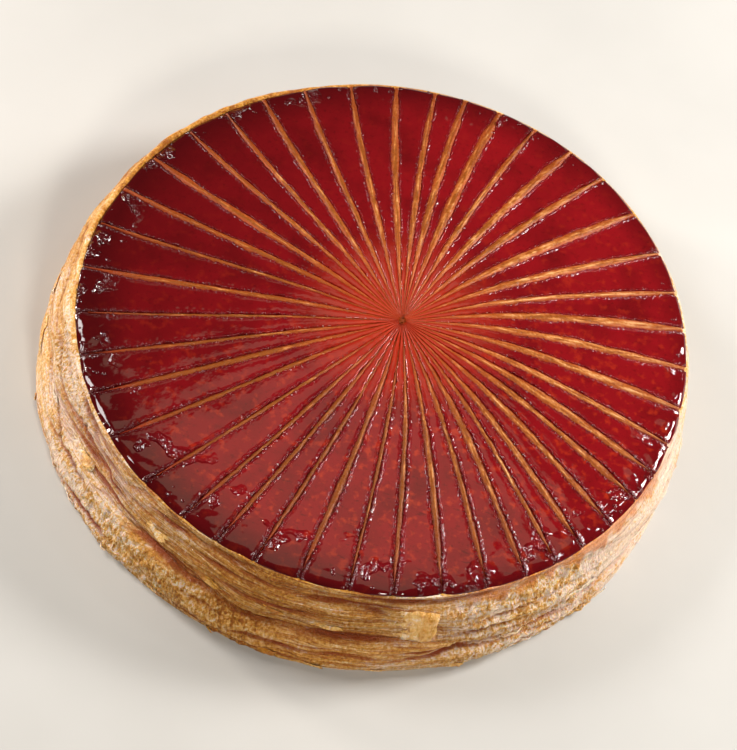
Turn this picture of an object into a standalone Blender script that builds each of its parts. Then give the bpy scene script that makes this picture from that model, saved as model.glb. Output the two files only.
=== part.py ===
"""Galette des rois: one baked round of puff pastry, modelled as a single solid.

Metres, +Z up. The origin is the middle of the flat underside. -Y is the front.
The outer surface is one sheet of rings, each ring having the same columns of points.
It starts with the flat underside, climbs the flared, layered edge and closes over
the low dome of the face at the point from which all the knife cuts radiate.
"""

import math
import random

import bmesh
import bpy
from mathutils import Vector

# Size of the round.
FACE_RADIUS = 0.116
RIM_HEIGHT = 0.0392
CROWN = 0.0040
FLARE = 0.0096

# Hand shaping. Each term is (waves round the edge, amplitude, azimuth of a crest in degrees).
FACE_UNEVEN = ((2, 0.00133, 52), (3, 0.0006, 71))
FLARE_UNEVEN = ((1, 0.0031, 209), (2, 0.0012, 72), (3, 0.0005, 34))
RIM_UNEVEN = ((2, 0.0004, 110), (5, 0.0003, 20))
EDGE_BULGE = ((4, 0.0003, 30), (7, 0.0004, 12), (11, 0.0003, 5))
BULGE_SLANT = 40

# Section through the edge: (share of the rim's height, share of the flare).
# It runs from the foot's bulge, past the seam of the two sheets, up to the rim.
EDGE_SECTION = (
    (0.03, 0.91),
    (0.08, 0.97),
    (0.14, 0.99),
    (0.20, 0.97),
    (0.25, 0.93),
    (0.30, 0.89),
    (0.35, 0.85),
    (0.40, 0.79),
    (0.45, 0.73),
    (0.50, 0.69),
    (0.56, 0.66),
    (0.62, 0.61),
    (0.68, 0.54),
    (0.75, 0.45),
    (0.82, 0.34),
    (0.89, 0.22),
    (0.95, 0.11),
)
UNDERSIDE_SHARE = 0.80

# The leaves of the pastry and the seam of its two sheets, which wander up and down the edge.
LEAVES = 4.0
LEAF_RELIEF = 0.0006
LEAF_DRIFT = ((1, 0.055, 180), (2, 0.035, 40), (5, 0.02, 10), (9, 0.01, 3))
SEAM_LEVEL = 0.45
SEAM_DEPTH = 0.0014
SEAM_WIDTH = 0.05

# Knife cuts in the face.
CUTS = 42
FIRST_CUT = 12.5
CUT_DRIFT = (
    (1, 5.2, -119),
    (2, 2.7, 54),
    (3, 1.35, 50),
    (4, 0.6, 38),
    (5, 0.35, -10),
    (6, 0.45, -8),
    (7, 0.35, 17),
    (10, 0.45, 3),
)
CUT_JITTER = 0.3
CUT_BEND = 3.6
CUT_BEND_UNEVEN = ((1, 3.2, -9),)
CUT_HALF_WIDTH = 0.00135
CUT_DEPTH = 0.0014
CUT_END_LOSS = 0.7
CUT_SHARE_LIMIT = 0.23
PUFF = 0.0007
STAR_POINT = Vector((0.0052, 0.0012))
STAR_DIMPLE = 0.0006

# Rings of the face, as shares of its radius, from the rim inwards.
FACE_RINGS = (1.0, 0.988, 0.97, 0.93, 0.85, 0.72, 0.57, 0.42, 0.28, 0.17, 0.09)
RIM_ROLL = 0.0016
RIM_ROLL_SHARE = 0.045
COLUMNS_PER_CUT = 4
SEED = 6

PASTRY_COLOUR = (0.62, 0.34, 0.12, 1.0)


def uneven(terms, degrees):
    """Sum of the cosine waves in terms at an azimuth."""
    return sum(size * math.cos(math.radians(n * (degrees - crest))) for n, size, crest in terms)


def smooth_step(low, high, value):
    share = min(1.0, max(0.0, (value - low) / (high - low)))
    return share * share * (3 - 2 * share)


def cut_azimuths():
    """Where each cut meets the rim, in degrees, evenly spaced but for the hand's drift."""
    shake = random.Random(SEED)
    pitch = 360 / CUTS
    return [
        FIRST_CUT + i * pitch + uneven(CUT_DRIFT, i * pitch) + shake.uniform(-CUT_JITTER, CUT_JITTER)
        for i in range(CUTS)
    ]


def face_radius(degrees):
    return FACE_RADIUS + uneven(FACE_UNEVEN, degrees)


def rim_height(degrees):
    return RIM_HEIGHT + uneven(RIM_UNEVEN, degrees)


def flare(degrees):
    return FLARE + uneven(FLARE_UNEVEN, degrees)


def cut_taper(share):
    """How wide and deep a cut is at a share of the face's radius, against its fullest."""
    return smooth_step(0.0, 0.4, share) * (1 - CUT_END_LOSS * smooth_step(0.78, 1.0, share))


def half_width(share):
    pitch = 2 * math.pi * FACE_RADIUS * share / CUTS
    return min(CUT_HALF_WIDTH * cut_taper(share), CUT_SHARE_LIMIT * pitch)


def columns_at(share, spread=0.0):
    """The azimuth and role of every column of points on one ring.

    A cut's floor is followed by the lip on its left, the petal's crown and the next lip.
    On the face the lips keep close to their cut. A spread of 1 spaces all columns evenly.
    """
    cuts = cut_azimuths()
    close = math.degrees(half_width(share) / (FACE_RADIUS * share))
    found = []
    for i, cut in enumerate(cuts):
        following = cuts[i + 1] if i + 1 < CUTS else cuts[0] + 360
        lip = close + spread * ((following - cut) / COLUMNS_PER_CUT - close)
        found += [
            (cut, "floor"),
            (cut + lip, "lip"),
            ((cut + following) / 2, "crown"),
            (following - lip, "lip"),
        ]
    return found


def face_ring(share):
    """One ring of the face, dipping at the cuts and puffed between them."""
    ring = []
    roll = RIM_ROLL * smooth_step(1 - RIM_ROLL_SHARE, 1.0, share) ** 2
    for azimuth, role in columns_at(share):
        bend = (CUT_BEND + uneven(CUT_BEND_UNEVEN, azimuth)) * (1 - share)
        turned = math.radians(azimuth + bend)
        reach = face_radius(azimuth) * share
        place = STAR_POINT * (1 - share) + reach * Vector((math.cos(turned), math.sin(turned)))
        height = rim_height(azimuth) + CROWN * (1 - share**2) - roll
        if role == "floor":
            height -= CUT_DEPTH * cut_taper(share)
        if role == "crown":
            height += PUFF * smooth_step(0.15, 0.6, share)
        ring.append(Vector((place.x, place.y, height)))
    return ring


def edge_ring(level, flare_share):
    """One ring of the edge, standing out and sinking in with the pastry's leaves."""
    ring = []
    fade = smooth_step(0.0, 0.1, level) * (1 - smooth_step(0.88, 1.0, level))
    spread = 1 - smooth_step(0.85, 1.0, level)
    for azimuth, _ in columns_at(1.0, spread):
        drifted = level + uneven(LEAF_DRIFT, azimuth)
        leaves = LEAF_RELIEF * math.sin(math.tau * LEAVES * drifted)
        seam = SEAM_DEPTH * math.exp(-(((drifted - SEAM_LEVEL) / SEAM_WIDTH) ** 2))
        bulge = uneven(EDGE_BULGE, azimuth + BULGE_SLANT * level)
        reach = face_radius(azimuth) + flare(azimuth) * flare_share
        reach += fade * (leaves - seam + bulge)
        turned = math.radians(azimuth)
        height = level * (rim_height(azimuth) - RIM_ROLL)
        ring.append(Vector((reach * math.cos(turned), reach * math.sin(turned), height)))
    return ring


def shift_to_middle(mesh):
    """Puts the middle of the outline over the origin."""
    for axis in (0, 1):
        values = [vertex.co[axis] for vertex in mesh.verts]
        middle = (min(values) + max(values)) / 2
        for vertex in mesh.verts:
            vertex.co[axis] -= middle


def build_galette_mesh():
    """Extrudes the underside's rim from ring to ring and closes it at the star point."""
    rings = [edge_ring(level, share) for level, share in EDGE_SECTION]
    rings += [face_ring(share) for share in FACE_RINGS]

    shape = bmesh.new()
    column = shape.verts.layers.int.new("column")
    underside = bmesh.ops.create_circle(
        shape, cap_ends=True, radius=FACE_RADIUS, segments=CUTS * COLUMNS_PER_CUT
    )
    for i, (vertex, place) in enumerate(zip(underside["verts"], edge_ring(0.0, UNDERSIDE_SHARE))):
        vertex[column] = i
        vertex.co = place

    edges = shape.edges[:]
    for ring in rings:
        grown = bmesh.ops.extrude_edge_only(shape, edges=edges)["geom"]
        edges = [item for item in grown if isinstance(item, bmesh.types.BMEdge)]
        for item in grown:
            if isinstance(item, bmesh.types.BMVert):
                item.co = ring[item[column]]

    last_ring = {vertex for edge in edges for vertex in edge.verts}
    tip_height = RIM_HEIGHT + CROWN - STAR_DIMPLE
    tip = shape.verts.new((STAR_POINT.x, STAR_POINT.y, tip_height))
    for edge in edges:
        if len(edge.link_faces) == 1 and last_ring.issuperset(edge.verts):
            shape.faces.new((*edge.verts, tip))

    bmesh.ops.recalc_face_normals(shape, faces=shape.faces)
    shift_to_middle(shape)
    mesh = bpy.data.meshes.new("galette")
    shape.to_mesh(mesh)
    shape.free()
    return mesh


def pastry_material():
    material = bpy.data.materials.new("baked_pastry")
    material.use_nodes = True
    surface = material.node_tree.nodes["Principled BSDF"]
    surface.inputs["Base Color"].default_value = PASTRY_COLOUR
    surface.inputs["Roughness"].default_value = 0.6
    surface.inputs["Metallic"].default_value = 0.0
    return material


def main():
    for old in list(bpy.data.objects):
        bpy.data.objects.remove(old)
    galette = bpy.data.objects.new("galette", build_galette_mesh())
    galette.data.materials.append(pastry_material())
    galette.data.shade_smooth()
    galette.data.set_sharp_from_angle(angle=math.radians(40))
    bpy.context.scene.collection.objects.link(galette)


main()
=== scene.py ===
"""A galette des rois: two sheets of puff pastry baked round a filling, scored and glazed.

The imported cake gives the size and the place. Everything visible is made here round it,
in the order in which a baker builds one: bottom sheet, lid, knife cuts, glaze, loose flakes.
Metres, +Z up, the front of the cake towards -Y.
"""

import math
import random
from functools import lru_cache

import bpy
from mathutils import Matrix, Vector, noise


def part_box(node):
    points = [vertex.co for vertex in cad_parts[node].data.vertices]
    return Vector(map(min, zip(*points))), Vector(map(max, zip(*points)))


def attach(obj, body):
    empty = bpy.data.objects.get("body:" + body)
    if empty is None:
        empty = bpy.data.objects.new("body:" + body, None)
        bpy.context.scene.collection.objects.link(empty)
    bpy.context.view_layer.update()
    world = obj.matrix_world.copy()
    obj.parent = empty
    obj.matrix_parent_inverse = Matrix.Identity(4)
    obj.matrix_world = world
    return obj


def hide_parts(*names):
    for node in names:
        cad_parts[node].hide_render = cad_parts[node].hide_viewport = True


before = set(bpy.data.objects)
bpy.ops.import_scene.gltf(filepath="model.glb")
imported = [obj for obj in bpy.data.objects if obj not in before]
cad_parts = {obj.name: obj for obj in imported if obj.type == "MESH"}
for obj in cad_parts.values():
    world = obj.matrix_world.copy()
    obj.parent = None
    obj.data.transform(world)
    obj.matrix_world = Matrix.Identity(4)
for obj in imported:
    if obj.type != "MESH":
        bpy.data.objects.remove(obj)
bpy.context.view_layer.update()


# ---------------------------------------------------------------------------------------
# Bottom sheet.
# The lower round of puff pastry, flat underneath where it lay on the tray. Its cut edge
# has risen into leaves that run round the cake, part, close up again and curl at the foot.
# ---------------------------------------------------------------------------------------
cake_low, cake_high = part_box("galette")
FOOT_RADIUS = (cake_high.x - cake_low.x) / 2
FACE_RADIUS = FOOT_RADIUS - 0.0085
RIM_HEIGHT = cake_high.z - 0.0046
FACE_MIDDLE = Vector((0.00263, 0.00196))

# Hand shaping, as (waves round the cake, size, azimuth of a crest in degrees).
FACE_UNEVEN = ((2, 0.00133, 52), (3, 0.0006, 71))
FLARE = 0.0094
FLARE_UNEVEN = ((1, 0.0031, 209), (2, 0.0012, 72), (3, 0.0005, 34))
EDGE_BULGE = ((4, 0.0003, 30), (7, 0.0004, 12), (11, 0.0003, 5))

# The outline of the edge from foot to rim: (share of the height, share of the flare).
EDGE_OUTLINE = (
    (0.0, 0.84),
    (0.05, 0.94),
    (0.14, 1.0),
    (0.25, 0.94),
    (0.40, 0.82),
    (0.55, 0.69),
    (0.68, 0.55),
    (0.82, 0.35),
    (0.93, 0.16),
    (1.0, 0.0),
)

# Lines drawn on the edge, as (azimuth in degrees, share of the rim's height): the seam where
# the lid lies on the bottom sheet, and the deep folds where the leaves have parted.
SEAM_LINE = (
    (0, 0.24),
    (50, 0.34),
    (110, 0.46),
    (150, 0.42),
    (172, 0.50),
    (190, 0.42),
    (199, 0.59),
    (209, 0.50),
    (218, 0.58),
    (230, 0.61),
    (240, 0.59),
    (250, 0.54),
    (260, 0.45),
    (270, 0.49),
    (282, 0.53),
    (291, 0.48),
    (300, 0.42),
    (307, 0.42),
    (315, 0.34),
    (335, 0.24),
    (360, 0.24),
)
FOLD_LINES = (
    ((10, 0.62), (35, 0.74), (60, 0.66), (85, 0.72), (100, 0.60)),
    ((70, 0.20), (95, 0.26), (125, 0.18), (160, 0.24)),
    ((120, 0.70), (140, 0.78), (158, 0.72), (176, 0.60)),
    ((160, 0.84), (170, 0.88), (180, 0.93), (193, 0.73), (200, 0.82), (211, 0.70), (219, 0.78), (229, 0.75)),
    ((206, 0.68), (211, 0.50), (217, 0.25)),
    ((210, 0.98), (217, 0.91), (223, 0.87), (230, 0.87), (236, 0.95), (241, 0.98)),
    ((239, 0.99), (246, 0.92), (255, 0.92), (262, 0.98)),
    ((262, 0.90), (270, 0.87), (277, 0.88), (283, 0.82), (285, 0.70)),
    ((268, 0.93), (280, 0.95), (292, 0.94), (304, 0.95)),
    ((256, 0.22), (262, 0.26), (270, 0.24), (279, 0.27), (286, 0.24), (301, 0.34), (310, 0.31), (326, 0.22)),
)
FOLD_FADE = 4.0
SEAM_HALF_WIDTH = 0.0010
FOLD_HALF_WIDTH = 0.0007
FINE_HALF_WIDTH = 0.0005

# Finer creases follow the seam: below it as a share of the way down, above it of the way up.
FINE_CREASES = (-0.72, -0.30, 0.06, 0.12, 0.19, 0.28, 0.38, 0.50, 0.62, 0.76, 0.88)
FINE_WANDER = 0.05
LEAFY_SIDE = math.radians(262)
LEAVES_BELOW_SEAM = 3
LEAVES_ABOVE_SEAM = 9
LEAF_SWELL = 0.0010
SUB_LEAVES = 2.4
SUB_LEAF_DEPTH = 0.0003
BUBBLE_SIZE = 0.0028
BUBBLE_HEIGHT = 0.0008
RIB_HEIGHT = 0.0005
RIM_SPREAD = 0.0026
RIM_SPREAD_SIDE = math.radians(160)
EDGE_COLUMNS = 1120
WALL_ROWS = 78

# Wrinkled places: (azimuth in degrees, half width in degrees, lowest level, highest level).
WRINKLED_PLACES = ((208, 12, 0.74, 1.0), (238, 28, 0.0, 0.52), (311, 18, 0.0, 0.9), (60, 40, 0.0, 0.6))

# How brown the crust is round the cake: (azimuth in degrees, share). The shares hold painted light
# as well as the crust's own browning: paler on the right and the left, where the lamps fall, and
# browner at the front, which lies in shade.
TOAST_AND_LIGHT_ROUND = (
    (0, 0.02),
    (60, 0.30),
    (120, 0.58),
    (165, 0.50),
    (185, 0.30),
    (200, 0.16),
    (215, 0.10),
    (230, 0.16),
    (245, 0.40),
    (262, 0.58),
    (275, 0.46),
    (290, 0.26),
    (305, 0.05),
    (318, 0.03),
    (327, -0.08),
    (345, -0.08),
    (360, 0.02),
)
PATCHED_FROM = 303
PATCHED_TO = 326.5
STAINED_SIDE = math.radians(322)


def waves(terms, azimuth):
    """Sum of the cosine waves in terms at an azimuth in radians."""
    return sum(size * math.cos(n * (azimuth - math.radians(crest))) for n, size, crest in terms)


def smooth_step(low, high, value):
    share = min(1.0, max(0.0, (value - low) / (high - low)))
    return share * share * (3 - 2 * share)


def mix(first, second, share):
    return first + (second - first) * share


def outline_at(outline, place):
    """Reads a list of (place, value) points, smoothly between them."""
    for (low, start), (high, end) in zip(outline, outline[1:]):
        if place <= high:
            return mix(start, end, (place - low) / (high - low))
    return outline[-1][1]


def face_radius(azimuth):
    return FACE_RADIUS + waves(FACE_UNEVEN, azimuth)


def drawn_line(line, degrees):
    """Reads a line drawn as (azimuth, value) points, with soft bends."""
    for (low, start), (high, end) in zip(line, line[1:]):
        if degrees <= high:
            return mix(start, end, smooth_step(low, high, degrees))
    return line[-1][1]


@lru_cache(maxsize=None)
def seam_level(azimuth):
    """Where the lid sits on the bottom sheet, as a share of the rim's height."""
    x, y = math.cos(azimuth), math.sin(azimuth)
    level = drawn_line(SEAM_LINE, math.degrees(azimuth) % 360)
    return level + 0.014 * noise.noise(Vector((x * 20, y * 20, 0.9)))


def back_rim(azimuth):
    """How much the rim spreads into a dry ridge, from 0 at the front to 1 at the back left."""
    x, y = math.cos(azimuth), math.sin(azimuth)
    ragged = 0.7 + 0.6 * noise.noise(Vector((x * 6, y * 6, 0.4)))
    ragged += 0.3 * noise.noise(Vector((x * 22, y * 22, 1.4)))
    return ragged * max(0.0, math.cos(azimuth - RIM_SPREAD_SIDE)) ** 3


@lru_cache(maxsize=None)
def creases_at(azimuth):
    """Every crease that crosses the edge at an azimuth, as (level, strength, half width)."""
    degrees = math.degrees(azimuth) % 360
    x, y = math.cos(azimuth), math.sin(azimuth)
    seam = seam_level(azimuth)
    leafy_share = smooth_step(0.5, 0.8, math.cos(azimuth - LEAFY_SIDE))
    soft, leafy = mix(0.55, 1.0, leafy_share), mix(0.35, 1.0, leafy_share)
    parted = 0.55 + 0.9 * noise.noise(Vector((x * 6, y * 6, 2.7)))
    parted += 0.35 * smooth_step(0.85, 0.95, math.cos(azimuth - LEAFY_SIDE))
    found = [(seam, soft * min(1.0, max(0.15, parted)), SEAM_HALF_WIDTH)]
    for i, line in enumerate(FOLD_LINES):
        from_ends = min(degrees - line[0][0], line[-1][0] - degrees)
        if from_ends > 0:
            level = drawn_line(line, degrees) + 0.014 * noise.noise(Vector((x * 22, y * 22, i * 4.7)))
            deep = 0.75 + 0.6 * noise.noise(Vector((x * 9, y * 9, i * 6.1)))
            found.append((level, soft * deep * smooth_step(0, FOLD_FADE, from_ends), FOLD_HALF_WIDTH))
    for i, share in enumerate(FINE_CREASES):
        level = seam + share * (1 - seam if share > 0 else seam)
        level += FINE_WANDER * noise.noise(Vector((x * 3.5, y * 3.5, i * 5.1)))
        level += 0.012 * noise.noise(Vector((x * 16, y * 16, i * 3.3)))
        strength = 0.35 + 1.5 * noise.noise(Vector((x * 5, y * 5, i * 7.7 + 3)))
        found.append((level, min(1.0, max(0.0, strength)) * leafy, FINE_HALF_WIDTH))
    return found


def wrinkled(azimuth, level):
    """1 where the skin of the crust has dried into short upright wrinkles."""
    degrees = math.degrees(azimuth) % 360
    share = 0.22
    for middle, half_width, low, high in WRINKLED_PLACES:
        beside = 1 - smooth_step(0.6, 1.3, abs(degrees - middle) / half_width)
        within = smooth_step(low - 0.06, low + 0.06, level) * (1 - smooth_step(high - 0.06, high + 0.06, level))
        share = max(share, beside * within)
    return share


def bubbles(x, y, level, size):
    """Rounded blisters of a size, from 0 in the gaps to about 1 on top."""
    place = Vector((x * FACE_RADIUS, y * FACE_RADIUS, level * RIM_HEIGHT * 0.7)) / size
    nearest = noise.voronoi(place)[0][0]
    return max(0.0, 1 - 1.6 * nearest * nearest)


def toast_and_light_at(x, y, azimuth, level):
    """How brown the crust is at a place, from 0 for cream to 1 for dark brown, with painted light in it: paler
    where the lamps fall, browner at the shaded front.
    """
    patch = noise.noise(Vector((x * 12, y * 12, level * 6 + 3)))
    freckle = noise.noise(Vector((x * 34, y * 34, level * 15)))
    band = noise.noise(Vector((x * 3.2, y * 3.2, level * 9 + 7)))
    degrees = math.degrees(azimuth) % 360
    patched = smooth_step(PATCHED_FROM, PATCHED_FROM + 13, degrees)
    patched *= 1 - smooth_step(PATCHED_TO - 1, PATCHED_TO + 1, degrees + 3 * freckle)
    share = drawn_line(TOAST_AND_LIGHT_ROUND, degrees) + 0.20 * band
    return share + mix(0.05, 0.36, patched) * smooth_step(0.0, 0.14, patch + 0.4 * freckle)


def leaf_relief(azimuth, level):
    """How far the crust stands out at a place on the edge, and what the finish needs to know."""
    x, y = math.cos(azimuth), math.sin(azimuth)
    seam = seam_level(azimuth)
    out, crease = 0.0, 0.0
    for at, strength, half_width in creases_at(azimuth):
        gap = (level - at) * RIM_HEIGHT
        if abs(gap) < 12 * half_width:
            groove = strength * (1 - smooth_step(0, half_width, abs(gap)))
            stained = strength * (1 - smooth_step(0.4 * half_width, 1.5 * half_width, abs(gap)))
            crease = max(crease, stained, 0.35 * strength * math.exp(-((gap / (2.4 * half_width)) ** 2)))
            side = smooth_step(-half_width, half_width, gap) - 0.5
            out -= half_width * groove
            out -= 1.7 * half_width * strength * math.exp(-((gap / (3 * half_width)) ** 2))
            out -= 1.3 * half_width * strength * side * math.exp(-abs(gap) / (5 * half_width))

    if level < seam:
        leaf = LEAVES_BELOW_SEAM * level / seam
    else:
        leaf = LEAVES_BELOW_SEAM + LEAVES_ABOVE_SEAM * (level - seam) / (1 - seam)
    leaf += 0.9 * noise.noise(Vector((x * 2.6, y * 2.6, level * 2.2)))
    sub_wander = 1.6 * noise.noise(Vector((x * 6, y * 6, level * 5 + 2)))
    sub_wander += 0.3 * noise.noise(Vector((x * 28, y * 28, level * 14)))
    sub_count = leaf * SUB_LEAVES + sub_wander
    broken = 0.45 + 1.4 * noise.noise(Vector((x * 7, y * 7, round(sub_count) * 2.3)))
    wrinkles = wrinkled(azimuth, level)
    line = (1 - 0.8 * wrinkles) * abs(2 * (sub_count % 1.0) - 1) ** 3 * max(0.0, min(1.0, broken))

    swell = noise.noise(Vector((x * 8, y * 8, leaf * 0.8)))
    rib = noise.noise(Vector((x * 84, y * 84, level * 6)))
    blister = bubbles(x, y, level, BUBBLE_SIZE)
    out += LEAF_SWELL * swell - SUB_LEAF_DEPTH * line
    out += wrinkles * (RIB_HEIGHT * rib + BUBBLE_HEIGHT * (blister - 0.5))
    stain = smooth_step(0.83, 0.95, level + 0.16 * noise.noise(Vector((x * 26, y * 26, level * 5))))
    notes = {
        "crease": crease,
        "leaf": leaf,
        "line": line,
        "wrinkled": wrinkles,
        "toast_and_light": toast_and_light_at(x, y, azimuth, level),
        "stain": stain * smooth_step(0.86, 0.95, math.cos(azimuth - STAINED_SIDE)),
    }
    return out, notes


def edge_place(azimuth, level):
    """A point on the cake's edge, and the notes for its finish."""
    relief, notes = leaf_relief(azimuth, level)
    fade = smooth_step(0.0, 0.04, level) * (1 - smooth_step(0.94, 1.0, level))
    flare = FLARE + waves(FLARE_UNEVEN, azimuth)
    reach = face_radius(azimuth) + flare * outline_at(EDGE_OUTLINE, level)
    reach += fade * (relief + waves(EDGE_BULGE, azimuth + 0.7 * level))
    reach += RIM_SPREAD * back_rim(azimuth) * smooth_step(0.6, 1.0, level)
    where = FACE_MIDDLE + reach * Vector((math.cos(azimuth), math.sin(azimuth)))
    return Vector((where.x, where.y, level * (RIM_HEIGHT - 0.0012))), notes


def new_sheet(name, columns, rows):
    """A flat unit square of cells, still to be wrapped round the cake."""
    bpy.ops.object.select_all(action="DESELECT")
    bpy.ops.mesh.primitive_grid_add(
        x_subdivisions=columns, y_subdivisions=rows, size=1, location=(0.5, 0.5, 0)
    )
    sheet = bpy.context.object
    bpy.ops.object.transform_apply(location=True, rotation=False, scale=False)
    sheet.name = name
    sheet.data.name = name
    return sheet


def note_on_points(piece, name, values):
    """Keeps one number for each point of the mesh, for the material to read."""
    attribute = piece.data.attributes.new(name, "FLOAT", "POINT")
    attribute.data.foreach_set("value", values)


def close_up(piece):
    """Merges the seam and the poles of a wrapped sheet and turns its faces outwards."""
    bpy.ops.object.select_all(action="DESELECT")
    piece.select_set(True)
    bpy.context.view_layer.objects.active = piece
    bpy.ops.object.mode_set(mode="EDIT")
    bpy.ops.mesh.select_all(action="SELECT")
    bpy.ops.mesh.remove_doubles(threshold=0.000002)
    bpy.ops.mesh.normals_make_consistent(inside=False)
    bpy.ops.object.mode_set(mode="OBJECT")
    bpy.ops.object.shade_smooth()


def wrap_edge(name, inner_rows, wall_rows, place_row):
    """Wraps a sheet round the cake: place_row(azimuth, row) gives each point and its notes."""
    rows = wall_rows + inner_rows
    piece = new_sheet(name, EDGE_COLUMNS, rows)
    kept = {"crease": [], "leaf": [], "line": [], "wrinkled": [], "toast_and_light": [], "stain": []}
    for vertex in piece.data.vertices:
        azimuth = math.tau * vertex.co.x
        row = round(vertex.co.y * rows)
        vertex.co, notes = place_row(azimuth, row)
        for label, values in kept.items():
            values.append(notes[label])
    for label, values in kept.items():
        note_on_points(piece, label, values)
    close_up(piece)
    return piece


UNDERSIDE_ROWS = 3
BOTTOM_INNER_ROWS = 2
INSIDE_HEIGHT = 0.016


def bottom_sheet_row(azimuth, row):
    """Rows run from the middle of the underside out to the foot, up to the seam and back in."""
    if row < UNDERSIDE_ROWS:
        foot, notes = edge_place(azimuth, 0.0)
        share = row / UNDERSIDE_ROWS
        return Vector((foot.x * share, foot.y * share, 0.0)), notes
    wall = min(1.0, (row - UNDERSIDE_ROWS) / WALL_ROWS)
    point, notes = edge_place(azimuth, wall * seam_level(azimuth))
    if row > UNDERSIDE_ROWS + WALL_ROWS:
        inward = 1 - (row - UNDERSIDE_ROWS - WALL_ROWS) / BOTTOM_INNER_ROWS
        point = Vector((point.x * inward, point.y * inward, mix(INSIDE_HEIGHT, point.z, inward)))
    return point, notes


bottom_sheet = wrap_edge(
    "bottom_sheet", UNDERSIDE_ROWS + BOTTOM_INNER_ROWS, WALL_ROWS, bottom_sheet_row
)


def new_material(name):
    """An empty material with its shader and the wires to it, for a finish to be built on."""
    material = bpy.data.materials.new(name)
    material.use_nodes = True
    nodes = material.node_tree.nodes
    return material, nodes, material.node_tree.links, nodes["Principled BSDF"]


def noise_field(nodes, links, vector, scale, detail=4.0, roughness=0.55):
    """A cloud of values from 0 to 1 on the given coordinates, and its output."""
    field = nodes.new("ShaderNodeTexNoise")
    field.inputs["Scale"].default_value = scale
    field.inputs["Detail"].default_value = detail
    field.inputs["Roughness"].default_value = roughness
    links.new(vector, field.inputs["Vector"])
    return field.outputs["Fac"]


def colour_steps(nodes, links, value, steps):
    """Turns a value into colours along (place, red, green, blue) steps."""
    ramp = nodes.new("ShaderNodeValToRGB")
    elements = ramp.color_ramp.elements
    while len(elements) < len(steps):
        elements.new(0.5)
    for element, (place, *colour) in zip(elements, steps):
        element.position = place
        element.color = (*colour, 1)
    links.new(value, ramp.inputs["Fac"])
    return ramp.outputs["Color"]


def blend_colours(nodes, links, share, first, second, way="MIX"):
    """Lays the second colour over the first by a share that may be a value or a number."""
    blend = nodes.new("ShaderNodeMix")
    blend.data_type = "RGBA"
    blend.blend_type = way
    if isinstance(share, float):
        blend.inputs["Factor"].default_value = share
    else:
        links.new(share, blend.inputs["Factor"])
    for source, socket in ((first, blend.inputs[6]), (second, blend.inputs[7])):
        if isinstance(source, tuple):
            socket.default_value = (*source, 1)
        else:
            links.new(source, socket)
    return blend.outputs[2]


def calculate(nodes, links, operation, first, second, clamp=False):
    """One sum on two values, each an output or a number."""
    step = nodes.new("ShaderNodeMath")
    step.operation = operation
    step.use_clamp = clamp
    for source, socket in ((first, step.inputs[0]), (second, step.inputs[1])):
        if isinstance(source, (int, float)):
            socket.default_value = source
        else:
            links.new(source, socket)
    return step.outputs[0]


def rescale(nodes, links, value, low, high, to_low=0.0, to_high=1.0):
    """Stretches a value's range from low and high to another, and keeps within it."""
    stretch = nodes.new("ShaderNodeMapRange")
    stretch.inputs["From Min"].default_value = low
    stretch.inputs["From Max"].default_value = high
    stretch.inputs["To Min"].default_value = to_low
    stretch.inputs["To Max"].default_value = to_high
    links.new(value, stretch.inputs["Value"])
    return stretch.outputs["Result"]


def read_note(nodes, name):
    """The value kept on the mesh's points under that name."""
    note = nodes.new("ShaderNodeAttribute")
    note.attribute_name = name
    return note.outputs["Fac"]


def bump_on(nodes, links, shader, height, distance, strength=1.0, under=None):
    """Roughens a shader by a height field, on top of any relief under it."""
    bump = nodes.new("ShaderNodeBump")
    bump.inputs["Distance"].default_value = distance
    bump.inputs["Strength"].default_value = strength
    links.new(height, bump.inputs["Height"])
    if under is not None:
        links.new(under, bump.inputs["Normal"])
    links.new(bump.outputs["Normal"], shader.inputs["Normal"])
    return bump.outputs["Normal"]


CREAM_LEAF = (0.94, 0.72, 0.56)
PALE_LEAF = (0.84, 0.51, 0.20)
GOLDEN_LEAF = (0.64, 0.29, 0.042)
TOASTED_LEAF = (0.32, 0.10, 0.009)
CREASE_BROWN = (0.26, 0.045, 0.011)
LAMINA_RED = (0.36, 0.085, 0.020)
STAIN_ORANGE = (0.64, 0.19, 0.030)
LAMINA_PITCH = 0.13


def stretched(nodes, links, vector, scale):
    """Coordinates squeezed by a factor in each direction."""
    squeeze = nodes.new("ShaderNodeMapping")
    squeeze.vector_type = "POINT"
    squeeze.inputs["Scale"].default_value = scale
    links.new(vector, squeeze.inputs["Vector"])
    return squeeze.outputs["Vector"]


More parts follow.
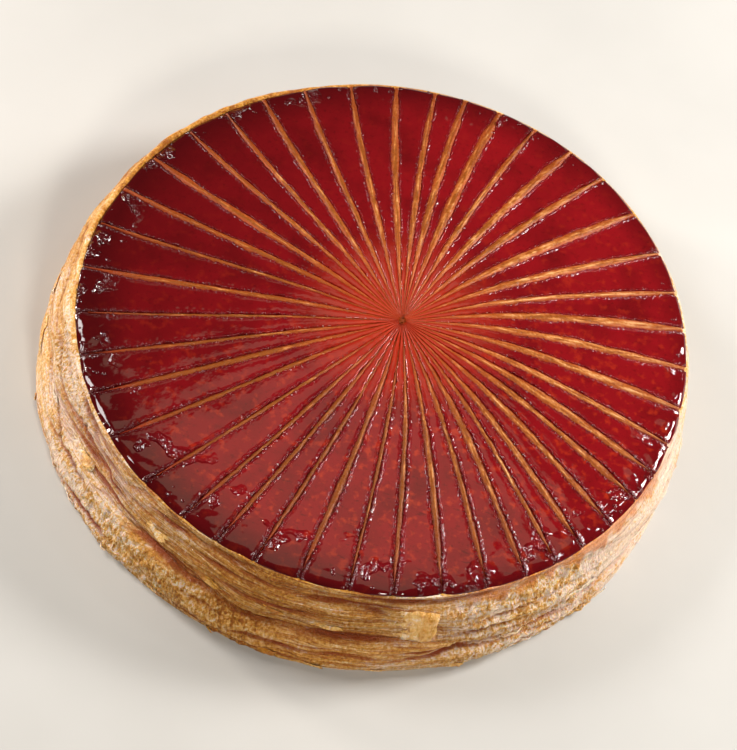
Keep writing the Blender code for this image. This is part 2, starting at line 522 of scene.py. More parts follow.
def baked_edge_material(name, toast_and_light, coarse=1.0):
    """Dry, flaky crust: pale leaves, browned patches and red-brown creases along the leaves."""
    material, nodes, links, shader = new_material(name)
    place = nodes.new("ShaderNodeTexCoord").outputs["Object"]
    split = nodes.new("ShaderNodeSeparateXYZ")
    links.new(place, split.inputs["Vector"])
    along_leaves = nodes.new("ShaderNodeCombineXYZ")
    links.new(split.outputs["X"], along_leaves.inputs["X"])
    links.new(split.outputs["Y"], along_leaves.inputs["Y"])
    leaf_height = calculate(nodes, links, "MULTIPLY", read_note(nodes, "leaf"), 0.04)
    links.new(leaf_height, along_leaves.inputs["Z"])
    streaks = noise_field(nodes, links, along_leaves.outputs["Vector"], 60, 6, 0.66)
    along_laminae = nodes.new("ShaderNodeCombineXYZ")
    links.new(split.outputs["X"], along_laminae.inputs["X"])
    links.new(split.outputs["Y"], along_laminae.inputs["Y"])
    lamina_height = calculate(nodes, links, "MULTIPLY", read_note(nodes, "leaf"), LAMINA_PITCH)
    clouds = noise_field(nodes, links, place, 34, 4, 0.6)
    wavy = calculate(nodes, links, "MULTIPLY", clouds, 0.09)
    lamina_height = calculate(nodes, links, "ADD", lamina_height, wavy)
    links.new(lamina_height, along_laminae.inputs["Z"])
    laminae = noise_field(nodes, links, along_laminae.outputs["Vector"], 70, 3, 0.62)
    smooth_skin = calculate(nodes, links, "SUBTRACT", 1.0, read_note(nodes, "wrinkled"))
    front = rescale(nodes, links, split.outputs["Y"], -0.04, -0.09, 0.25, 1.0)
    laminated = calculate(nodes, links, "MULTIPLY", smooth_skin, front)
    grain = noise_field(nodes, links, place, 380, 5, 0.68)
    specks = noise_field(nodes, links, place, 980, 2, 0.6)
    ribs = noise_field(nodes, links, stretched(nodes, links, place, (1, 1, 0.35)), 900, 3, 0.65)

    # Painted light: the note read here holds the browning round the cake together with painted light, paler
    # where the lamps fall and browner at the shaded front.
    shade = calculate(nodes, links, "ADD", read_note(nodes, "toast_and_light"), toast_and_light)
    upright = calculate(nodes, links, "MULTIPLY", ribs, read_note(nodes, "wrinkled"))
    for field, strength in (
        (streaks, 0.50),
        (clouds, 0.22),
        (grain, 0.30),
        (specks, 0.42 * coarse),
        (ribs, 0.18 * coarse),
    ):
        change = rescale(nodes, links, field, 0.28, 0.72, -strength / 2, strength / 2)
        shade = calculate(nodes, links, "ADD", shade, change)
    rib_change = rescale(nodes, links, ribs, 0.38, 0.62, -0.26, 0.26)
    rib_change = calculate(nodes, links, "MULTIPLY", rib_change, read_note(nodes, "wrinkled"))
    shade = calculate(nodes, links, "ADD", shade, rib_change)
    pale_laminae = rescale(nodes, links, laminae, 0.46, 0.38, 0.0, 0.38)
    pale_laminae = calculate(nodes, links, "MULTIPLY", pale_laminae, laminated)
    shade = calculate(nodes, links, "SUBTRACT", shade, pale_laminae)
    ground = colour_steps(
        nodes,
        links,
        shade,
        (
            (0.0, *CREAM_LEAF),
            (0.18, *PALE_LEAF),
            (0.50, *GOLDEN_LEAF),
            (0.84, *TOASTED_LEAF),
        ),
    )
    stain = calculate(nodes, links, "MULTIPLY", read_note(nodes, "stain"), 0.75)
    ground = blend_colours(nodes, links, stain, ground, STAIN_ORANGE)
    red_laminae = rescale(nodes, links, laminae, 0.54, 0.60, 0.0, 0.75)
    red_laminae = calculate(nodes, links, "MULTIPLY", red_laminae, laminated)
    ground = blend_colours(nodes, links, red_laminae, ground, LAMINA_RED)
    lines = calculate(nodes, links, "MULTIPLY", read_note(nodes, "line"), 0.8)
    ground = blend_colours(nodes, links, lines, ground, CREASE_BROWN)
    creases = calculate(nodes, links, "MULTIPLY", read_note(nodes, "crease"), 0.95, clamp=True)
    ground = blend_colours(nodes, links, creases, ground, CREASE_BROWN)
    links.new(ground, shader.inputs["Base Color"])
    links.new(rescale(nodes, links, grain, 0.35, 0.65, 0.22, 0.45), shader.inputs["Roughness"])
    shader.inputs["Specular IOR Level"].default_value = 0.2
    shader.inputs["Subsurface Weight"].default_value = 0.2
    shader.inputs["Subsurface Radius"].default_value = (1.0, 0.45, 0.15)
    shader.inputs["Subsurface Scale"].default_value = 0.0008
    grain_relief = bump_on(nodes, links, shader, grain, 0.0016, 0.7)
    speck_relief = bump_on(nodes, links, shader, specks, 0.0007, 0.7 * coarse, grain_relief)
    streak_relief = bump_on(nodes, links, shader, streaks, 0.0014, 0.7, speck_relief)
    lamina_steps = calculate(nodes, links, "MULTIPLY", laminae, laminated)
    lamina_relief = bump_on(nodes, links, shader, lamina_steps, 0.0016, 0.8, streak_relief)
    bump_on(nodes, links, shader, upright, 0.0030, 0.9, lamina_relief)
    return material


bottom_sheet.data.materials.append(baked_edge_material("golden_bottom_crust", 0.0))
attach(bottom_sheet, "root")
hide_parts("galette")


# ---------------------------------------------------------------------------------------
# Lid.
# The upper round of puff pastry, laid over the filling and sealed to the bottom sheet.
# Its edge has risen in finer leaves and rolls over a crisp rim on to the glazed face.
# ---------------------------------------------------------------------------------------
CROWN = 0.0040
RIM_CREST = 0.0003
BACK_CREST = 0.0013
RIM_CREST_WIDTH = 0.0036
LID_WALL_ROWS = 78
RIM_ROWS = 9
LID_INNER_ROWS = 2


def face_height(share):
    """Height of the pastry under the glaze at a share of the face's radius."""
    return RIM_HEIGHT - 0.0012 + CROWN * (1 - share**2)


def lid_row(azimuth, row):
    """Rows run from inside the seam up the edge and over the rim to the middle of the face."""
    wall = min(1.0, max(0, row - 1) / LID_WALL_ROWS)
    seam = seam_level(azimuth)
    point, notes = edge_place(azimuth, seam + wall * (1 - seam))
    if row == 0:
        return Vector((0, 0, INSIDE_HEIGHT)), notes
    over = row - 1 - LID_WALL_ROWS
    if over > 0:
        share = min(1.0, over / RIM_ROWS)
        inward = 1 - share * RIM_CREST_WIDTH / FACE_RADIUS
        crest = (RIM_CREST + BACK_CREST * back_rim(azimuth)) * math.sin(math.pi * min(1.0, 1.3 * share))
        flat = FACE_MIDDLE + (Vector((point.x, point.y)) - FACE_MIDDLE) * inward
        point = Vector((flat.x, flat.y, point.z + crest - 0.0014 * share**3))
        notes["crease"] *= 1 - share
        notes["toast_and_light"] += 0.35 * share
    if over > RIM_ROWS:
        share = 1 - (over - RIM_ROWS) / LID_INNER_ROWS
        flat = FACE_MIDDLE + (Vector((point.x, point.y)) - FACE_MIDDLE) * share * 0.96
        point = Vector((flat.x, flat.y, face_height(share) - 0.0022))
    return point, notes


lid = wrap_edge("lid", 1 + RIM_ROWS + LID_INNER_ROWS, LID_WALL_ROWS, lid_row)
lid.data.materials.append(baked_edge_material("golden_lid_crust", 0.0))
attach(lid, "root")


# ---------------------------------------------------------------------------------------
# Knife cuts.
# The baker scores the lid from a point near its middle out to the rim. In the oven each
# cut opens and bares a band of pale golden pastry whose fibres run along the cut.
# ---------------------------------------------------------------------------------------
CUTS = 42
FIRST_CUT = 12.5
CUT_DRIFT = (
    (1, 5.2, -119),
    (2, 2.7, 54),
    (3, 1.35, 50),
    (4, 0.6, 38),
    (5, 0.35, -10),
    (6, 0.45, -8),
    (7, 0.35, 17),
    (10, 0.45, 3),
)
CUT_JITTER = 0.3
CUT_BEND = 3.6
CUT_BEND_UNEVEN = ((1, 3.2, -9),)
CUT_SAG = ((1, 0.6, 156),)
STAR_POINT = FACE_MIDDLE + Vector((0.0052, 0.0012))
CUT_HALF_WIDTH = 0.00118
CUT_SHARE_LIMIT = 0.2
OPENING_UNEVEN = ((1, 0.26, 48),)
BAND_COLUMNS = (-1.7, -1.1, -0.8, -0.5, -0.17, 0.17, 0.5, 0.8, 1.1, 1.7)
BAND_ROWS = 190
BAND_SINK = 0.00075
BAND_CROWN = 0.00042
FIBRE_HEIGHT = 0.00016
LID_RISE = 0.0012

shake = random.Random(6)


def cut_azimuths():
    """Where each cut meets the rim, in radians."""
    pitch = 360 / CUTS
    found = []
    for i in range(CUTS):
        drift = waves(CUT_DRIFT, math.radians(i * pitch))
        found.append(math.radians(FIRST_CUT + i * pitch + drift + shake.uniform(-CUT_JITTER, CUT_JITTER)))
    return found


CUT_AZIMUTHS = cut_azimuths()
CUT_OPENINGS = [shake.uniform(0.7, 1.25) * (1 + waves(OPENING_UNEVEN, cut)) for cut in CUT_AZIMUTHS]


def on_face(azimuth, share):
    """A point of the face that lies a share of the way out along the bent line to that azimuth."""
    bend = math.radians(CUT_BEND + waves(CUT_BEND_UNEVEN, azimuth)) * (1 - share)
    bend += math.radians(waves(CUT_SAG, azimuth)) * math.sin(math.pi * share**2)
    reach = face_radius(azimuth) * share
    turned = azimuth + bend
    middle = STAR_POINT.lerp(FACE_MIDDLE, share)
    return middle + reach * Vector((math.cos(turned), math.sin(turned)))


def flooded(azimuth):
    """1 at the front, where the glaze ran together over the ends of the cuts, 0 at the back."""
    return smooth_step(-0.1, 0.45, math.cos(azimuth - math.radians(268)))


def cut_half_width(cut, share):
    """Half the width of a cut at a share of the way out, in metres."""
    cut %= CUTS
    wander = 1 + 0.3 * noise.noise(Vector((share * 9, cut * 5.3, 0.5)))
    end = 0.5 + 0.5 * flooded(CUT_AZIMUTHS[cut])
    taper = smooth_step(-0.05, 0.4, share) * (1 - end * smooth_step(0.84, 0.99, share))
    pitch = math.tau * FACE_RADIUS * share / CUTS
    return min(CUT_HALF_WIDTH * CUT_OPENINGS[cut] * wander * taper, CUT_SHARE_LIMIT * pitch)


def lid_rise(share):
    """How high the glazed lid stands over the pastry under it; less where the cuts crowd."""
    pitch = math.tau * FACE_RADIUS * share / CUTS
    return LID_RISE * (0.35 + 0.65 * smooth_step(0.0005, 0.006, pitch))


def scored_face_mesh():
    """A thin round of pastry whose rows run from its hidden underside out and back to the star point."""
    columns = CUTS * len(BAND_COLUMNS)
    under_rows = 2
    rows = under_rows + BAND_ROWS
    piece = new_sheet("scored_pastry", columns, rows)
    fibres, banks = [], []
    for vertex in piece.data.vertices:
        column = round(vertex.co.x * columns) % columns
        row = round(vertex.co.y * rows)
        cut, band = divmod(column, len(BAND_COLUMNS))
        place = BAND_COLUMNS[band]
        if row < under_rows:
            share = 0.992 * row / under_rows
            drop = 0.0030
        else:
            share = 0.992 * (1 - ((row - under_rows) / BAND_ROWS))
            drop = 0.0 if row > under_rows else 0.0016
        across = place * cut_half_width(cut, share)
        azimuth = CUT_AZIMUTHS[cut] + across / max(FACE_RADIUS * share, 0.0005)
        where = on_face(azimuth, share)
        fibre = noise.noise(Vector((across * 2400, share * 22, cut * 7.7)))
        fray = noise.noise(Vector((across * 1500, share * 130, cut * 3.1)))
        height = face_height(share) + lid_rise(share) - drop
        height += BAND_CROWN * (1 - min(1.3, place * place)) - BAND_SINK * (0.55 + 0.45 * flooded(azimuth))
        height += (FIBRE_HEIGHT * fibre + 0.00012 * fray) * smooth_step(0.02, 0.25, share)
        height -= 0.0009 * smooth_step(1.1, 1.7, abs(place))
        height -= 0.0006 * smooth_step(0.95, 0.992, share) * flooded(azimuth)
        vertex.co = (where.x, where.y, height)
        fibres.append(fibre + 0.5 * fray)
        banks.append(min(1.0, abs(place)))
    note_on_points(piece, "fibre", fibres)
    note_on_points(piece, "bank", banks)
    close_up(piece)
    return piece


def from_star(nodes, links, place):
    """Distance from the star point as a share of the face's radius."""
    measure = nodes.new("ShaderNodeVectorMath")
    measure.operation = "DISTANCE"
    flatten = nodes.new("ShaderNodeMapping")
    flatten.vector_type = "POINT"
    flatten.inputs["Scale"].default_value = (1, 1, 0)
    links.new(place, flatten.inputs["Vector"])
    links.new(flatten.outputs["Vector"], measure.inputs[0])
    measure.inputs[1].default_value = (STAR_POINT.x, STAR_POINT.y, 0)
    return calculate(nodes, links, "DIVIDE", measure.outputs["Value"], FACE_RADIUS)


def side_share(nodes, links, place, azimuth):
    """How far a place lies out towards an azimuth, in metres from the middle."""
    measure = nodes.new("ShaderNodeVectorMath")
    measure.operation = "DOT_PRODUCT"
    links.new(place, measure.inputs[0])
    measure.inputs[1].default_value = (math.cos(azimuth), math.sin(azimuth), 0)
    return measure.outputs["Value"]


# The side towards which the bared pastry is painted lighter, as an azimuth.
LIT_SIDE = math.radians(-15)
BARE_PALE = (0.68, 0.36, 0.15)
BARE_GOLD = (0.46, 0.165, 0.042)
BARE_BROWN = (0.31, 0.088, 0.015)
BARE_DARK = (0.22, 0.056, 0.008)
SOAKED_ORANGE = (0.38, 0.062, 0.012)
SOAKED_BANK = (0.21, 0.030, 0.008)
SOAKED_RED = (0.30, 0.022, 0.008)


def bared_pastry_material():
    """Golden inner pastry with fibres along the cut, soaked orange by the glaze near the star."""
    material, nodes, links, shader = new_material("bared_golden_pastry")
    place = nodes.new("ShaderNodeTexCoord").outputs["Object"]
    split = nodes.new("ShaderNodeSeparateXYZ")
    links.new(place, split.inputs["Vector"])
    fibre = read_note(nodes, "fibre")
    clouds = noise_field(nodes, links, place, 60, 4, 0.6)
    grain = noise_field(nodes, links, place, 900, 3, 0.6)
    shade = calculate(nodes, links, "MULTIPLY_ADD", fibre, 0.85)
    shade.node.inputs[2].default_value = 0.52
    cloudy = calculate(nodes, links, "SUBTRACT", clouds, 0.5)
    shade = calculate(nodes, links, "ADD", shade, cloudy)
    # Painted light and shade: the bared pastry is paler towards the right, where the key light falls, and
    # darker towards the left.
    lit_side = side_share(nodes, links, place, LIT_SIDE)
    lit_side = rescale(nodes, links, lit_side, -0.06, 0.11, -0.30, 0.24)
    shade = calculate(nodes, links, "ADD", shade, lit_side)
    front = rescale(nodes, links, split.outputs["Y"], -0.07, 0.05, 1.0, 0.0)
    # Painted shade: darker again towards the front, which lies in shade.
    front_side = calculate(nodes, links, "MULTIPLY", front, 0.60)
    shade = calculate(nodes, links, "SUBTRACT", shade, front_side)
    back_side = rescale(nodes, links, split.outputs["Y"], 0.0, 0.06, 0.0, 0.22)
    shade = calculate(nodes, links, "SUBTRACT", shade, back_side)
    ground = colour_steps(
        nodes,
        links,
        shade,
        ((0.0, *BARE_DARK), (0.22, *BARE_BROWN), (0.48, *BARE_GOLD), (0.85, *BARE_PALE)),
    )
    wet = calculate(nodes, links, "ADD", read_note(nodes, "bank"), cloudy)
    soaked_banks = rescale(nodes, links, wet, 0.36, 0.90, 0.0, 0.92)
    bank_colour = blend_colours(nodes, links, front, SOAKED_ORANGE, SOAKED_BANK)
    ground = blend_colours(nodes, links, soaked_banks, ground, bank_colour)
    ways_out = from_star(nodes, links, place)
    soaked = rescale(nodes, links, ways_out, 0.10, 0.42, 0.85, 0.0)
    ground = blend_colours(nodes, links, soaked, ground, SOAKED_ORANGE)
    browned_ends = rescale(nodes, links, ways_out, 0.66, 1.0, 0.0, 0.6)
    ground = blend_colours(nodes, links, browned_ends, ground, SOAKED_BANK)
    rim_soaked = rescale(nodes, links, ways_out, 0.88, 1.0, 0.0, 0.8)
    flooded_rim = calculate(nodes, links, "MULTIPLY", rim_soaked, front)
    ground = blend_colours(nodes, links, flooded_rim, ground, SOAKED_RED)
    links.new(ground, shader.inputs["Base Color"])
    links.new(rescale(nodes, links, grain, 0.3, 0.7, 0.2, 0.42), shader.inputs["Roughness"])
    shader.inputs["Specular IOR Level"].default_value = 0.2
    bump_on(nodes, links, shader, grain, 0.0005, 0.8)
    return material


scored_pastry = scored_face_mesh()
scored_pastry.data.materials.append(bared_pastry_material())
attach(scored_pastry, "root")


# ---------------------------------------------------------------------------------------
# Glazed petals.
# Between the cuts the brushed and browned lid stands up as narrow petals under a thick
# red-brown lacquer. Their lips are torn in small teeth and their outer ends roll down.
# ---------------------------------------------------------------------------------------
PETAL_STATIONS = (0, 0.012, 0.035, 0.075, 0.14, 0.24, 0.37, 0.5, 0.63, 0.76, 0.86, 0.925, 0.965, 0.988, 1)
PETAL_ROWS = 264
PETAL_START = 0.012
PETAL_END = 0.998
LIP_ROUNDING = 0.0011
LIP_ROUNDING_SHARE = 0.25
LIP_DEPTH = 0.0008
LIP_TOOTH = 0.00060
TOOTH_PITCH = 0.0010
BEAD_HEIGHT = 0.00052
BEAD_PITCH = 0.00095
PETAL_DOME = 0.0001
END_ROUNDING = 0.0034
END_CORNER = 0.004
END_DROP = 0.0017
WAVE_HEIGHT = 0.00007
SWELL_HEIGHT = 0.0009
PETALS_PER_PIECE = 21


def torn(cut, side, along):
    """How far a lip's teeth reach over the cut, in metres, at a distance along it."""
    teeth = noise.noise(Vector((along / TOOTH_PITCH, cut * 9.1, side * 4.3)))
    slow = noise.noise(Vector((along / 0.006, cut * 2.7, side * 8.9)))
    return LIP_TOOTH * (0.9 * teeth + 0.8 * slow)


def petal_point(petal, across, out):
    """A point on the top of a petal, and how near its lip; across and out run from 0 to 1."""
    corner = END_CORNER * abs(2 * across - 1) ** 9
    share = mix(PETAL_START, PETAL_END - corner, out)
    start, end = CUT_AZIMUTHS[petal], CUT_AZIMUTHS[(petal + 1) % CUTS]
    if end < start:
        end += math.tau
    reach = FACE_RADIUS * share
    teeth = min(1.0, share / 0.3)
    parted = 1 - flooded((start + end) / 2) * smooth_step(0.95, 0.985, share)
    first = cut_half_width(petal, share) - teeth * torn(petal, 1, reach)
    last = cut_half_width(petal + 1, share) - teeth * torn(petal + 1, -1, reach)
    first, last = max(first, 0.00008) * parted, max(last, 0.00008) * parted
    azimuth = mix(start + first / reach, end - last / reach, across)
    where = on_face(azimuth, share)

    width = (end - start) * reach
    lip = min(LIP_ROUNDING, LIP_ROUNDING_SHARE * width)
    uneven = 0.75 + 0.6 * noise.noise(Vector((where.x * 260, where.y * 260, 3.3)))
    lip_gap = min(across, 1 - across) * width
    from_lip = min(1.0, lip_gap / (lip * uneven))
    uneven_end = 1.1 + 0.8 * noise.noise(Vector((where.x * 95, where.y * 95, 6.2)))
    from_end = (face_radius(azimuth) * (PETAL_END - share) + 0.0002) / (END_ROUNDING * uneven_end)
    lip_fall = 1 - math.sqrt(max(0.0, 1 - (1 - from_lip) ** 2))
    end_fall = 1 - math.sqrt(max(0.0, 1 - (1 - min(1.0, from_end)) ** 2))
    narrow = smooth_step(0.0005, 0.006, width)

    height = face_height(share) + lid_rise(share)
    height += PETAL_DOME * 4 * across * (1 - across) * narrow
    height -= LIP_DEPTH * (0.5 + 0.5 * narrow) * lip_fall * (0.3 + 0.7 * parted)
    height -= END_DROP * end_fall * (0.6 + 0.5 * uneven_end)
    bead = noise.noise(Vector((where.x / BEAD_PITCH, where.y / BEAD_PITCH, 5.1)))
    near_lip = 1 - smooth_step(0.2, 1.6, lip_gap / lip)
    near_lip *= smooth_step(0.2, 0.4, share)
    height += BEAD_HEIGHT * bead * near_lip * narrow
    height += WAVE_HEIGHT * noise.noise(Vector((where.x * 110, where.y * 110, 1.1))) * narrow
    swell = smooth_step(0.80, 0.96, share) * (1 - smooth_step(0.985, 1.0, share))
    swollen = noise.noise(Vector((where.x * 150, where.y * 150, 9.4)))
    height += SWELL_HEIGHT * swell * max(0.0, swollen)
    return Vector((where.x, where.y, height)), near_lip


def petal_mesh(petal):
    """One petal: a strip of cells laid along the cut, its rim folded down and closed below."""
    stations = len(PETAL_STATIONS) - 1
    piece = new_sheet(f"petal_{petal:02d}", stations, PETAL_ROWS)
    lips = []
    for vertex in piece.data.vertices:
        across = PETAL_STATIONS[round(vertex.co.x * stations)]
        vertex.co, near_lip = petal_point(petal, across, vertex.co.y)
        lips.append(near_lip)
    note_on_points(piece, "lip", lips)
    bpy.ops.object.mode_set(mode="EDIT")
    bpy.ops.mesh.select_all(action="SELECT")
    bpy.ops.mesh.region_to_loop()
    bpy.ops.mesh.extrude_region_move(TRANSFORM_OT_translate={"value": (0, 0, -0.0009)})
    bpy.ops.mesh.edge_face_add()
    bpy.ops.object.mode_set(mode="OBJECT")
    return piece


def join_pieces(name, pieces):
    """Joins like pieces into one object of that name and turns their faces outwards."""
    bpy.ops.object.select_all(action="DESELECT")
    for piece in pieces:
        piece.select_set(True)
    bpy.context.view_layer.objects.active = pieces[0]
    bpy.ops.object.join()
    joined = bpy.context.object
    joined.name = name
    joined.data.name = name
    bpy.ops.object.mode_set(mode="EDIT")
    bpy.ops.mesh.select_all(action="SELECT")
    bpy.ops.mesh.normals_make_consistent(inside=False)
    bpy.ops.object.mode_set(mode="OBJECT")
    bpy.ops.object.shade_smooth()
    return joined


# The azimuth towards which the lacquer is given painted shade.
SHADED_SIDE = math.radians(163)
POOLED_SIDE = math.radians(292)
LACQUER_RED = (0.188, 0.0042, 0.0065)
LACQUER_DEEP = (0.115, 0.003, 0.0042)
LACQUER_DARK = (0.035, 0.0015, 0.002)
LACQUER_ORANGE = (0.40, 0.030, 0.008)


def lacquer_material():
    """Browned pastry seen through a red lacquer: wet gloss, darker where it is thick, with painted shade
    towards the back left.
    """
    material, nodes, links, shader = new_material("red_lacquer")
    place = nodes.new("ShaderNodeTexCoord").outputs["Object"]
    clouds = noise_field(nodes, links, place, 48, 4, 0.55)
    blots = noise_field(nodes, links, place, 270, 3, 0.55)
    freckles = noise_field(nodes, links, place, 620, 3, 0.6)
    ways_out = from_star(nodes, links, place)

    ground = colour_steps(
        nodes, links, clouds, ((0.3, *LACQUER_DEEP), (0.55, *LACQUER_RED))
    )
    front_side = side_share(nodes, links, place, POOLED_SIDE)
    warm = rescale(nodes, links, blots, 0.54, 0.70, 0.0, 0.55)
    warm_side = rescale(nodes, links, front_side, -0.06, 0.05, 0.12, 1.0)
    warm = calculate(nodes, links, "MULTIPLY", warm, warm_side)
    ground = blend_colours(nodes, links, warm, ground, LACQUER_ORANGE)
    dark_spots = rescale(nodes, links, freckles, 0.56, 0.72, 0.0, 0.35)
    ground = blend_colours(nodes, links, dark_spots, ground, LACQUER_DARK)
    cracks = noise_field(nodes, links, stretched(nodes, links, place, (0.28, 1, 0)), 520, 3, 0.6)
    cracked = rescale(nodes, links, cracks, 0.60, 0.70, 0.0, 0.5)
    cracked_side = rescale(nodes, links, front_side, 0.02, 0.07)
    cracked = calculate(nodes, links, "MULTIPLY", cracked, cracked_side)
    ground = blend_colours(nodes, links, cracked, ground, LACQUER_DARK)
    lip_grit = noise_field(nodes, links, place, 1150, 2, 0.6)
    lip_dark = rescale(nodes, links, lip_grit, 0.40, 0.60, 0.0, 0.8)
    lip_dark = calculate(nodes, links, "MULTIPLY", lip_dark, read_note(nodes, "lip"))
    lip_dark = calculate(nodes, links, "MULTIPLY", lip_dark, cracked_side)
    ground = blend_colours(nodes, links, lip_dark, ground, LACQUER_DARK)
    near_star = rescale(nodes, links, ways_out, 0.04, 0.38, 0.8, 0.0)
    ground = blend_colours(nodes, links, near_star, ground, LACQUER_ORANGE)
    # Painted shade: the lacquer darkens towards the back left, away from the key light.
    shaded_side = side_share(nodes, links, place, SHADED_SIDE)
    painted_shade_share = rescale(nodes, links, shaded_side, 0.01, 0.09, 0.0, 0.58)
    ground = blend_colours(nodes, links, painted_shade_share, ground, LACQUER_DARK)
    rim_wander = calculate(nodes, links, "MULTIPLY_ADD", clouds, 0.12)
    links.new(ways_out, rim_wander.node.inputs[2])
    near_rim = rescale(nodes, links, rim_wander, 0.93, 1.05, 0.0, 0.75)
    ground = blend_colours(nodes, links, near_rim, ground, LACQUER_DARK)
    links.new(ground, shader.inputs["Base Color"])
    links.new(rescale(nodes, links, blots, 0.3, 0.7, 0.40, 0.55), shader.inputs["Roughness"])
    dull = rescale(nodes, links, lip_grit, 0.50, 0.60, 0.9, 0.0)
    dull = calculate(nodes, links, "MULTIPLY", dull, read_note(nodes, "lip"))
    links.new(rescale(nodes, links, dull, 0.0, 1.0, 1.0, 0.0), shader.inputs["Coat Weight"])
    links.new(rescale(nodes, links, dull, 0.0, 1.0, 0.03, 0.4), shader.inputs["Coat Roughness"])
    shader.inputs["Coat IOR"].default_value = 1.5
    shader.inputs["Specular IOR Level"].default_value = 0.0
    ripples = noise_field(nodes, links, place, 170, 2, 0.5)
    waves_under = bump_on(nodes, links, shader, ripples, 0.0004, 0.25)
    fine_under = bump_on(nodes, links, shader, freckles, 0.00012, 0.2, waves_under)
    puddles = noise_field(nodes, links, stretched(nodes, links, place, (1, 1, 0)), 85, 2, 0.5)
    far_rim = rescale(nodes, links, ways_out, 0.91, 0.95)
    far_side = rescale(nodes, links, shaded_side, 0.055, 0.08)
    pooled_rim = calculate(nodes, links, "MULTIPLY", far_rim, far_side)
    deeper = calculate(nodes, links, "MULTIPLY_ADD", pooled_rim, 0.04)
    links.new(puddles, deeper.node.inputs[2])
    puckered = rescale(nodes, links, deeper, 0.60, 0.66, 0.0, 1.0)
    outer_part = rescale(nodes, links, ways_out, 0.80, 0.88, 0.0, 1.0)
    puckered = calculate(nodes, links, "MULTIPLY", puckered, outer_part)
    pooled_side = rescale(nodes, links, front_side, 0.0, 0.04)
    pooled = calculate(nodes, links, "MAXIMUM", pooled_side, pooled_rim)
    puckered = calculate(nodes, links, "MULTIPLY", puckered, pooled)
    puckers = noise_field(nodes, links, stretched(nodes, links, place, (1, 1, 0.3)), 520, 2, 0.5)
    pucker_height = calculate(nodes, links, "MULTIPLY", puckers, puckered)
    pucker_relief = bump_on(nodes, links, shader, pucker_height, 0.0022, 0.8, fine_under)
    grit_height = calculate(nodes, links, "MULTIPLY", lip_grit, read_note(nodes, "lip"))
    bump_on(nodes, links, shader, grit_height, 0.0011, 0.8, pucker_relief)
    links.new(shader.inputs["Normal"].links[0].from_socket, shader.inputs["Coat Normal"])
    return material


red_lacquer = lacquer_material()
for part, first in enumerate(range(0, CUTS, PETALS_PER_PIECE)):
    petals = [petal_mesh(petal) for petal in range(first, first + PETALS_PER_PIECE)]
    glazed = join_pieces(f"glazed_petals_{part + 1}", petals)
    glazed.data.materials.append(red_lacquer)
    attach(glazed, "root")


# ---------------------------------------------------------------------------------------
# Syrup beads.
# Drops of the lacquer that drew together on the lips of the cuts and along the rim, and
# set there as small clear beads.
# ---------------------------------------------------------------------------------------
BEADS_ALONG_LIPS = 210
BEADS_AT_RIM = 60
SMALL_BEAD = 0.00028
LARGE_BEAD = 0.00085

chance = random.Random(21)


def bead(petal, across, out, radius):
    """One flattened drop sunk by half into the glaze."""
    place, _ = petal_point(petal, across, out)
    bpy.ops.object.select_all(action="DESELECT")
    bpy.ops.mesh.primitive_uv_sphere_add(segments=10, ring_count=6, radius=radius, location=place)
    drop = bpy.context.object
    drop.scale = (chance.uniform(0.9, 1.7), chance.uniform(0.8, 1.2), 0.62)
    drop.rotation_euler = (0, 0, CUT_AZIMUTHS[petal] + chance.uniform(-0.5, 0.5))
    bpy.ops.object.transform_apply(location=True, rotation=True, scale=True)
    return drop


beads = []
for _ in range(BEADS_ALONG_LIPS):
    side = chance.choice((0.03, 0.97))
    size = mix(SMALL_BEAD, LARGE_BEAD * 0.6, chance.random() ** 3)
    beads.append(bead(chance.randrange(CUTS), side, chance.uniform(0.3, 0.97), size))
for _ in range(BEADS_AT_RIM):
    size = mix(SMALL_BEAD, LARGE_BEAD, chance.random())
    beads.append(bead(chance.randrange(CUTS), chance.uniform(0.02, 0.98), chance.uniform(0.93, 0.99), size))
syrup_beads = join_pieces("syrup_beads", beads)
syrup_beads.data.materials.append(red_lacquer)
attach(syrup_beads, "root")


# ---------------------------------------------------------------------------------------
# Loose flakes.
# Thin leaves of pastry that lifted off the edge in the oven: one broad flap at the front
# and small ragged ones that stand out along the seam and round the foot.
# ---------------------------------------------------------------------------------------
FLAKE_THICKNESS = 0.00022
FLAP_PLACE = (math.radians(288.3), 0.69)
FLAP_SIZE = (0.0150, 0.0145)
FOOT_FLAKES = 34
SEAM_FLAKES = 26


def flake(azimuth, level, length, height, lift, raggedness):
    """A ragged leaf of crust laid on the edge, lifting from its left end to its right."""
    columns, rows = 16, 9
    piece = new_sheet("flake", columns, rows)
    toast_and_light = []
    for vertex in piece.data.vertices:
        along, up = vertex.co.x - 0.5, vertex.co.y - 0.5
        ragged = raggedness * noise.noise(Vector((along * 5, azimuth * 50, up)))
        spot_level = level + up * (1 - abs(2 * along) ** 4 * raggedness + ragged) * height / RIM_HEIGHT
        frayed = 0.3 * raggedness * noise.noise(Vector((up * 6, azimuth * 90, along)))
        spot_azimuth = azimuth + (along + frayed) * length / FACE_RADIUS
        flat, notes = edge_place(spot_azimuth, min(0.93, max(0.03, spot_level)))
        outward = Vector((math.cos(spot_azimuth), math.sin(spot_azimuth), 0.35)).normalized()
        crumple = 0.0004 * noise.noise(Vector((along * 12, up * 5, azimuth * 40)))
        rise = mix(-0.0003, lift, smooth_step(-0.5, 0.4, along))
        vertex.co = flat + outward * (rise + crumple)
        toast_and_light.append(notes["toast_and_light"])
    note_on_points(piece, "toast_and_light", toast_and_light)
    note_on_points(piece, "wrinkled", [0.3] * len(toast_and_light))
    thickness = piece.modifiers.new("thickness", "SOLIDIFY")
    thickness.thickness = FLAKE_THICKNESS
    thickness.offset = 0
    bpy.ops.object.modifier_apply(modifier="thickness")
    return piece


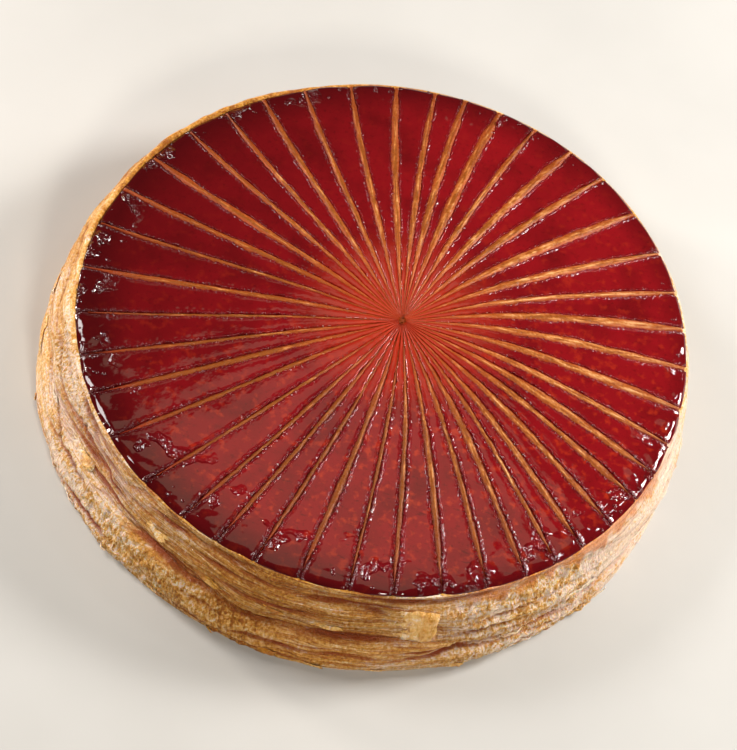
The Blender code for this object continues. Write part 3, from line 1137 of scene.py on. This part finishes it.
flakes = [flake(*FLAP_PLACE, *FLAP_SIZE, 0.0011, 0.12)]
for i in range(FOOT_FLAKES):
    azimuth = math.tau * (i + chance.uniform(-0.4, 0.4)) / FOOT_FLAKES
    size = (chance.uniform(0.004, 0.012), chance.uniform(0.0012, 0.0026))
    flakes.append(flake(azimuth, chance.uniform(0.05, 0.10), *size, 0.0008, 0.5))
for i in range(SEAM_FLAKES):
    azimuth = math.tau * (i + chance.uniform(-0.4, 0.4)) / SEAM_FLAKES
    level = seam_level(azimuth) + chance.uniform(-0.10, 0.20)
    size = (chance.uniform(0.008, 0.022), chance.uniform(0.0014, 0.0030))
    flakes.append(flake(azimuth, level, *size, 0.0006, 0.5))
loose_flakes = join_pieces("loose_flakes", flakes)
loose_flakes.data.materials.append(baked_edge_material("dry_flake_crust", -0.05, 0.4))
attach(loose_flakes, "root")


# ---------------------------------------------------------------------------------------
# Table, light and camera.
# A pale matt table, a large soft light behind and above that mirrors in the front of the
# glaze, a warm key from the right and a fill from the left, and a long lens from the front.
# ---------------------------------------------------------------------------------------
bpy.ops.object.select_all(action="DESELECT")
bpy.ops.mesh.primitive_plane_add(size=6, location=(0, 0, 0))
table = bpy.context.object
table.name = "pale_table"
table_matt, table_nodes, table_links, table_shader = new_material("pale_matt_table")
table_place = table_nodes.new("ShaderNodeTexCoord").outputs["Object"]
table_mottle = noise_field(table_nodes, table_links, table_place, 9, 4, 0.5)
table_tones = colour_steps(
    table_nodes, table_links, table_mottle, ((0.3, 0.47, 0.46, 0.44), (0.7, 0.52, 0.51, 0.49))
)
table_links.new(table_tones, table_shader.inputs["Base Color"])
table_shader.inputs["Roughness"].default_value = 0.7
table.data.materials.append(table_matt)


def soft_light(name, place, aim, size, watts, colour, spin=0.0):
    """A rectangular soft light at a place, turned to its aim and spun about its own axis."""
    lamp = bpy.data.lights.new(name, "AREA")
    lamp.shape = "RECTANGLE"
    lamp.size, lamp.size_y = size
    lamp.energy = watts
    lamp.color = colour
    light = bpy.data.objects.new(name, lamp)
    facing = (Vector(aim) - Vector(place)).to_track_quat("-Z", "Y").to_matrix().to_4x4()
    light.matrix_world = Matrix.Translation(place) @ facing @ Matrix.Rotation(math.radians(spin), 4, "Z")
    bpy.context.scene.collection.objects.link(light)
    return light


soft_light("softbox_behind", (-0.023, 0.352, 1.0), (-0.03, 0, 0.04), (0.43, 0.50), 0.6, (1.0, 0.92, 0.68), -44)
soft_light("key_right", (0.60, 0.30, 0.48), (0, 0, 0.03), (0.22, 0.22), 8.5, (1.0, 0.97, 0.93))
soft_light("fill_left", (-0.80, 0.25, 0.22), (0, 0, 0.02), (0.12, 0.12), 6.6, (1.0, 0.92, 0.84))
soft_light("glint_left", (-0.72, 0.15, 0.75), (-0.1, 0, 0.04), (0.40, 0.32), 6.0, (1.0, 0.97, 0.95))
soft_light("glint_back", (0.42, 0.40, 1.05), (0, 0, 0.04), (0.06, 0.06), 0.5, (1.0, 1.0, 1.0))
soft_light("fill_front", (0.32, -0.84, 0.72), (0, 0, 0.02), (0.18, 0.18), 7.2, (1.0, 0.95, 0.86))

world = bpy.data.worlds.new("dim_studio")
world.use_nodes = True
world.node_tree.nodes["Background"].inputs["Color"].default_value = (0.9, 0.92, 1.0, 1)
world.node_tree.nodes["Background"].inputs["Strength"].default_value = 0.03
bpy.context.scene.world = world
bpy.context.scene.view_settings.view_transform = "Standard"

CAMERA_AIM = Vector((0.0010, -0.0225, RIM_HEIGHT))
CAMERA_DISTANCE = 1.0348
CAMERA_RISE = math.radians(55.61)
CAMERA_ROLL = math.radians(15.29)
lens = bpy.data.cameras.new("long_lens")
lens.lens = 134.4
lens.sensor_width = 36
camera = bpy.data.objects.new("camera", lens)
bpy.context.scene.collection.objects.link(camera)
turn = Matrix.Rotation(math.pi / 2 - CAMERA_RISE, 4, "X") @ Matrix.Rotation(CAMERA_ROLL, 4, "Z")
away = turn @ Vector((0, 0, CAMERA_DISTANCE))
camera.matrix_world = Matrix.Translation(CAMERA_AIM + away) @ turn
bpy.context.scene.camera = camera
